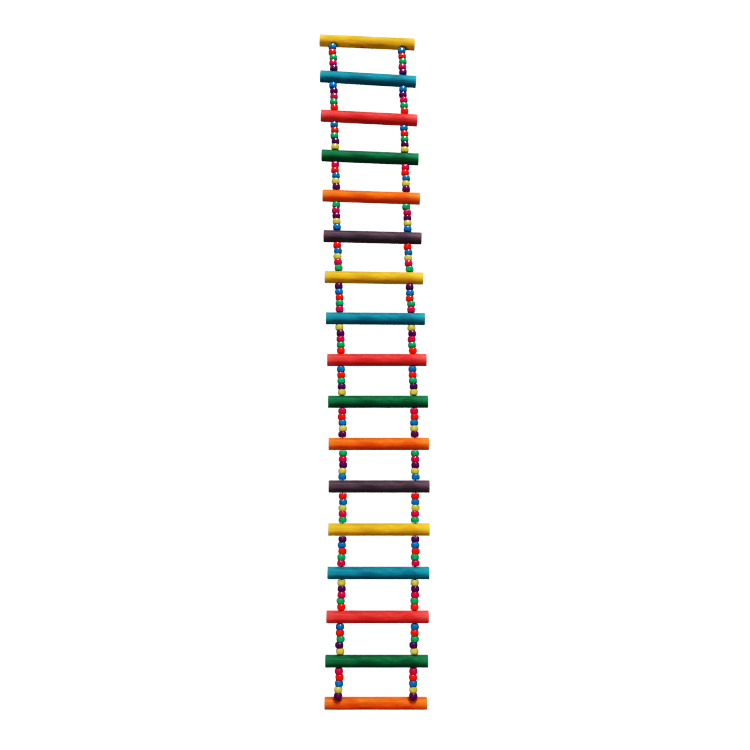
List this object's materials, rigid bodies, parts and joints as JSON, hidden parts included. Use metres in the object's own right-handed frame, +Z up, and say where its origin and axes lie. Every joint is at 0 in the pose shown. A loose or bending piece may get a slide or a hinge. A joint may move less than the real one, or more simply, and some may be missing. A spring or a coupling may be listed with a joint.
{
  "type": "bird ladder",
  "caption": "Flexible hanging ladder: round dyed wooden rungs threaded on side cords and spaced by stacks of glossy barrel beads.",
  "frame": {"origin": "bottom centre of the box round the ladder as it hangs at rest", "axes": "+X along the rungs to the right as seen from the front, +Y to the back, +Z up the ladder; the front, where the beads of the end gaps show before their rungs, faces -Y"},
  "size_m": [0.1428, 0.0354, 0.8777],
  "materials": {
    "rung_yellow": "satin dyed wood, grain showing",
    "rung_teal": "satin dyed wood, grain showing",
    "rung_red": "satin dyed wood, grain showing",
    "rung_green": "satin dyed wood, grain showing",
    "rung_orange": "satin dyed wood, grain showing",
    "rung_purple": "satin dyed wood, grain showing",
    "bead_purple": "gloss",
    "bead_yellow": "gloss",
    "bead_blue": "gloss",
    "bead_pink": "gloss",
    "bead_green": "gloss",
    "bead_red": "gloss",
    "cord": "twisted dark nylon cord"
  },
  "bodies": {
    "rung_01": {"rung_01_yellow": "rung_yellow", "cord_left": "cord", "cord_right": "cord", "knot_top_left": "cord", "knot_top_right": "cord"},
    "section_01": {"beads_01_left": "bead_purple", "beads_01_right": "bead_purple"},
    "rung_02": {"rung_02_teal": "rung_teal"},
    "section_02": {"beads_02_left": "bead_yellow", "beads_02_right": "bead_yellow"},
    "rung_03": {"rung_03_red": "rung_red"},
    "section_03": {"beads_03_left": "bead_blue", "beads_03_right": "bead_blue"},
    "rung_04": {"rung_04_green": "rung_green"},
    "section_04": {"beads_04_left": "bead_pink", "beads_04_right": "bead_pink"},
    "rung_05": {"rung_05_orange": "rung_orange"},
    "section_05": {"beads_05_left": "bead_green", "beads_05_right": "bead_green"},
    "rung_06": {"rung_06_purple": "rung_purple"},
    "section_06": {"beads_06_left": "bead_red", "beads_06_right": "bead_red"},
    "rung_07": {"rung_07_yellow": "rung_yellow"},
    "section_07": {"beads_07_left": "bead_purple", "beads_07_right": "bead_purple"},
    "rung_08": {"rung_08_teal": "rung_teal"},
    "section_08": {"beads_08_left": "bead_yellow", "beads_08_right": "bead_yellow"},
    "rung_09": {"rung_09_red": "rung_red"},
    "section_09": {"beads_09_left": "bead_blue", "beads_09_right": "bead_blue"},
    "rung_10": {"rung_10_green": "rung_green"},
    "section_10": {"beads_10_left": "bead_pink", "beads_10_right": "bead_pink"},
    "rung_11": {"rung_11_orange": "rung_orange"},
    "section_11": {"beads_11_left": "bead_green", "beads_11_right": "bead_green"},
    "rung_12": {"rung_12_purple": "rung_purple"},
    "section_12": {"beads_12_left": "bead_red", "beads_12_right": "bead_red"},
    "rung_13": {"rung_13_yellow": "rung_yellow"},
    "section_13": {"beads_13_left": "bead_purple", "beads_13_right": "bead_purple"},
    "rung_14": {"rung_14_teal": "rung_teal"},
    "section_14": {"beads_14_left": "bead_yellow", "beads_14_right": "bead_yellow"},
    "rung_15": {"rung_15_red": "rung_red"},
    "section_15": {"beads_15_left": "bead_blue", "beads_15_right": "bead_blue"},
    "rung_16": {"rung_16_green": "rung_green"},
    "section_16": {"beads_16_left": "bead_pink", "beads_16_right": "bead_pink"},
    "rung_17": {"rung_17_orange": "rung_orange", "knot_bottom_left": "cord", "knot_bottom_right": "cord"}
  },
  "joints": [
    {"name": "swing_01", "type": "hinge", "parent": "rung_01", "child": "section_01", "pos_m": [-0.00798, -0.00969, 0.8572], "axis": [-0.999, 0, 0.0454], "range_deg": [-5, 30], "deforming": ["cord_left", "cord_right"]},
    {"name": "tilt_02", "type": "hinge", "parent": "section_01", "child": "rung_02", "pos_m": [-0.00579, -0.00969, 0.81931], "axis": [0.9981, 0, -0.0609], "range_deg": [-12, 12]},
    {"name": "swing_02", "type": "hinge", "parent": "rung_02", "child": "section_02", "pos_m": [-0.00677, -0.00969, 0.80334], "axis": [0.9981, 0, -0.0609], "range_deg": [-12, 12]},
    {"name": "tilt_03", "type": "hinge", "parent": "section_02", "child": "rung_03", "pos_m": [-0.00461, -0.00969, 0.7659], "axis": [-0.9986, 0, 0.0521], "range_deg": [-12, 12]},
    {"name": "swing_03", "type": "hinge", "parent": "rung_03", "child": "section_03", "pos_m": [-0.00545, -0.00969, 0.74992], "axis": [-0.9986, 0, 0.0521], "range_deg": [-12, 12]},
    {"name": "tilt_04", "type": "hinge", "parent": "section_03", "child": "rung_04", "pos_m": [-0.00329, -0.00969, 0.71249], "axis": [0.9991, 0, -0.0433], "range_deg": [-12, 12]},
    {"name": "swing_04", "type": "hinge", "parent": "rung_04", "child": "section_04", "pos_m": [-0.00398, -0.00969, 0.6965], "axis": [0.9991, 0, -0.0433], "range_deg": [-12, 12]},
    {"name": "tilt_05", "type": "hinge", "parent": "section_04", "child": "rung_05", "pos_m": [-0.00182, -0.00969, 0.65906], "axis": [-0.9994, 0, 0.0345], "range_deg": [-12, 12]},
    {"name": "swing_05", "type": "hinge", "parent": "rung_05", "child": "section_05", "pos_m": [-0.00237, -0.00969, 0.64307], "axis": [-0.9994, 0, 0.0345], "range_deg": [-12, 12]},
    {"name": "tilt_06", "type": "hinge", "parent": "section_05", "child": "rung_06", "pos_m": [-0.00021, -0.00969, 0.60564], "axis": [0.9997, 0, -0.0256], "range_deg": [-12, 12]},
    {"name": "swing_06", "type": "hinge", "parent": "rung_06", "child": "section_06", "pos_m": [-0.00062, -0.00969, 0.58964], "axis": [0.9997, 0, -0.0256], "range_deg": [-12, 12]},
    {"name": "tilt_07", "type": "hinge", "parent": "section_06", "child": "rung_07", "pos_m": [0.00154, -0.00969, 0.5522], "axis": [-0.9999, 0, 0.0168], "range_deg": [-12, 12]},
    {"name": "swing_07", "type": "hinge", "parent": "rung_07", "child": "section_07", "pos_m": [0.00127, -0.00969, 0.53621], "axis": [-0.9999, 0, 0.0168], "range_deg": [-12, 12]},
    {"name": "tilt_08", "type": "hinge", "parent": "section_07", "child": "rung_08", "pos_m": [0.0034, -0.00969, 0.49877], "axis": [1, 0, -0.008], "range_deg": [-12, 12]},
    {"name": "swing_08", "type": "hinge", "parent": "rung_08", "child": "section_08", "pos_m": [0.00327, -0.00969, 0.48277], "axis": [1, 0, -0.008], "range_deg": [-12, 12]},
    {"name": "tilt_09", "type": "hinge", "parent": "section_08", "child": "rung_09", "pos_m": [0.00516, -0.00969, 0.44531], "axis": [-1, 0, 0], "range_deg": [-12, 12]},
    {"name": "swing_09", "type": "hinge", "parent": "rung_09", "child": "section_09", "pos_m": [0.00516, -0.00969, 0.42931], "axis": [-1, 0, 0], "range_deg": [-12, 12]},
    {"name": "tilt_10", "type": "hinge", "parent": "section_09", "child": "rung_10", "pos_m": [0.00663, -0.00969, 0.39184], "axis": [1, 0, 0], "range_deg": [-12, 12]},
    {"name": "swing_10", "type": "hinge", "parent": "rung_10", "child": "section_10", "pos_m": [0.00663, -0.00969, 0.37584], "axis": [1, 0, 0], "range_deg": [-12, 12]},
    {"name": "tilt_11", "type": "hinge", "parent": "section_10", "child": "rung_11", "pos_m": [0.00755, -0.00969, 0.33835], "axis": [-1, 0, 0], "range_deg": [-12, 12]},
    {"name": "swing_11", "type": "hinge", "parent": "rung_11", "child": "section_11", "pos_m": [0.00755, -0.00969, 0.32235], "axis": [-1, 0, 0], "range_deg": [-12, 12]},
    {"name": "tilt_12", "type": "hinge", "parent": "section_11", "child": "rung_12", "pos_m": [0.00788, -0.00969, 0.28486], "axis": [1, 0, 0], "range_deg": [-12, 12]},
    {"name": "swing_12", "type": "hinge", "parent": "rung_12", "child": "section_12", "pos_m": [0.00788, -0.00969, 0.26886], "axis": [1, 0, 0], "range_deg": [-12, 12]},
    {"name": "tilt_13", "type": "hinge", "parent": "section_12", "child": "rung_13", "pos_m": [0.00764, -0.00969, 0.23136], "axis": [-1, 0, 0], "range_deg": [-12, 12]},
    {"name": "swing_13", "type": "hinge", "parent": "rung_13", "child": "section_13", "pos_m": [0.00764, -0.00969, 0.21536], "axis": [-1, 0, 0], "range_deg": [-12, 12]},
    {"name": "tilt_14", "type": "hinge", "parent": "section_13", "child": "rung_14", "pos_m": [0.00693, -0.00969, 0.17786], "axis": [1, 0, 0], "range_deg": [-12, 12]},
    {"name": "swing_14", "type": "hinge", "parent": "rung_14", "child": "section_14", "pos_m": [0.00693, -0.00969, 0.16186], "axis": [1, 0, 0], "range_deg": [-12, 12]},
    {"name": "tilt_15", "type": "hinge", "parent": "section_14", "child": "rung_15", "pos_m": [0.0059, -0.00969, 0.12438], "axis": [-1, 0, 0], "range_deg": [-12, 12]},
    {"name": "swing_15", "type": "hinge", "parent": "rung_15", "child": "section_15", "pos_m": [0.0059, -0.00969, 0.10838], "axis": [-1, 0, 0], "range_deg": [-12, 12]},
    {"name": "tilt_16", "type": "hinge", "parent": "section_15", "child": "rung_16", "pos_m": [0.00479, -0.00969, 0.07089], "axis": [1, 0, 0], "range_deg": [-12, 12]},
    {"name": "swing_16", "type": "hinge", "parent": "rung_16", "child": "section_16", "pos_m": [0.00479, -0.00969, 0.05489], "axis": [1, 0, 0], "range_deg": [-12, 12]},
    {"name": "tilt_17", "type": "hinge", "parent": "section_16", "child": "rung_17", "pos_m": [0.00371, -0.00969, 0.01846], "axis": [-1, 0, 0], "range_deg": [-5, 30]}
  ]
}
